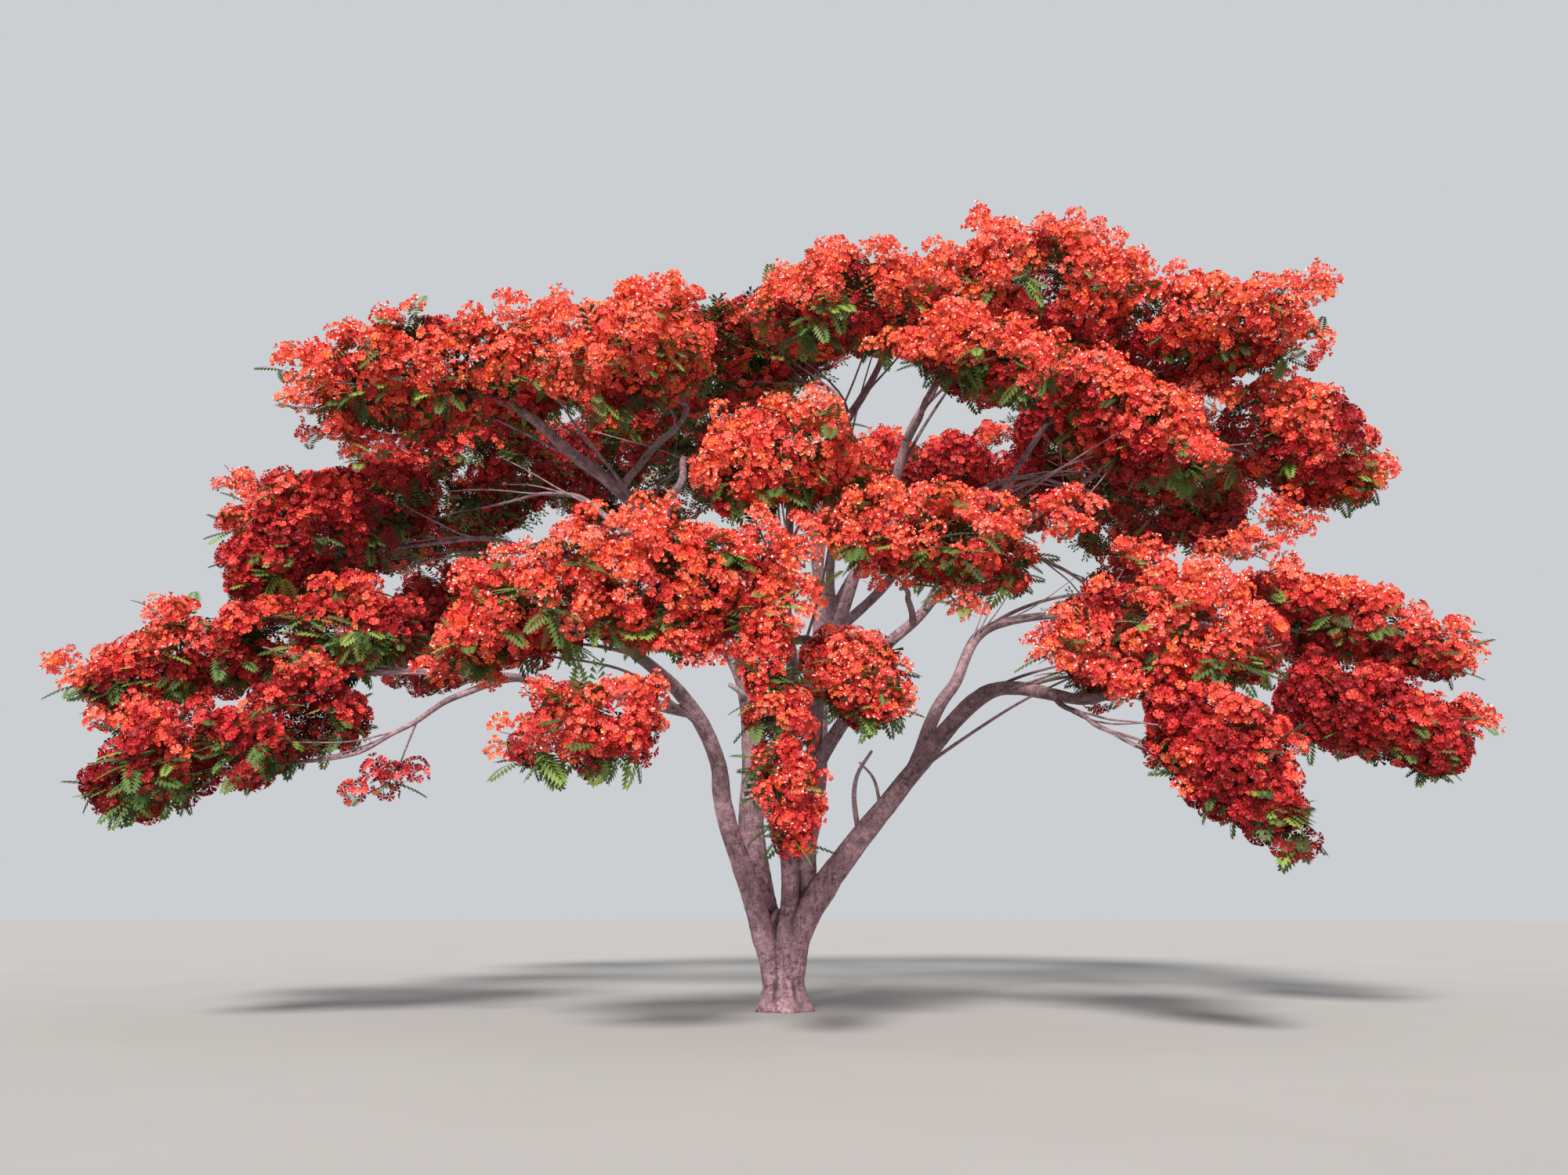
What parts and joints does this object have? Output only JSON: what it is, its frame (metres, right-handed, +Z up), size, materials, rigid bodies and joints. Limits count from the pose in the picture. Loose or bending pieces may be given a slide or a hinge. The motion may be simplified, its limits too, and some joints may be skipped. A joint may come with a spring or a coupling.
{
  "type": "royal poinciana",
  "caption": "Wide umbrella-shaped flowering tree with a short flared trunk, low-forking arched boughs and flat layered masses of scarlet blossom.",
  "frame": {"origin": "middle of the flat cut under the trunk, at ground level", "axes": "+Z up, +X along the crown's widest way, to the right in the picture, +Y away from the picture's viewer"},
  "size_m": [18.4118, 13.3157, 10.9245],
  "materials": {
    "bark": "rough",
    "blossom": "matte",
    "leaf": "matte"
  },
  "bodies": {
    "root": {"trunk": "bark", "bough_left_front": "bark", "bough_left": "bark", "bough_front": "bark", "bough_centre": "bark", "bough_right": "bark", "bough_back": "bark", "bough_left_hanging": "bark", "bough_left_low": "bark", "bough_left_lowest": "bark", "bough_front_left": "bark", "bough_left_upper": "bark", "bough_left_middle": "bark", "bough_left_back": "bark", "bough_back_left_top": "bark", "bough_front_hanging": "bark", "bough_centre_low": "bark", "bough_top_right": "bark", "bough_upper_right_front": "bark", "bough_right_upper": "bark", "bough_front_right": "bark", "bough_right_hanging": "bark", "bough_right_far": "bark", "bough_right_far_low": "bark", "bough_right_outer": "bark", "bough_right_top": "bark", "bough_top_back": "bark", "bough_right_back": "bark", "bough_back_left_low": "bark", "bough_back_right_low": "bark", "blossom_left_front": "blossom", "blossom_left": "blossom", "blossom_front": "blossom", "blossom_centre": "blossom", "blossom_right": "blossom", "blossom_back": "blossom", "blossom_left_hanging": "blossom", "blossom_left_low": "blossom", "blossom_left_lowest": "blossom", "blossom_front_left": "blossom", "blossom_left_upper": "blossom", "blossom_left_middle": "blossom", "blossom_left_back": "blossom", "blossom_back_left_top": "blossom", "blossom_front_hanging": "blossom", "blossom_centre_low": "blossom", "blossom_top_right": "blossom", "blossom_upper_right_front": "blossom", "blossom_right_upper": "blossom", "blossom_front_right": "blossom", "blossom_right_hanging": "blossom", "blossom_right_far": "blossom", "blossom_right_far_low": "blossom", "blossom_right_outer": "blossom", "blossom_right_top": "blossom", "blossom_top_back": "blossom", "blossom_right_back": "blossom", "blossom_back_left_low": "blossom", "blossom_back_right_low": "blossom"}
  },
  "joints": []
}
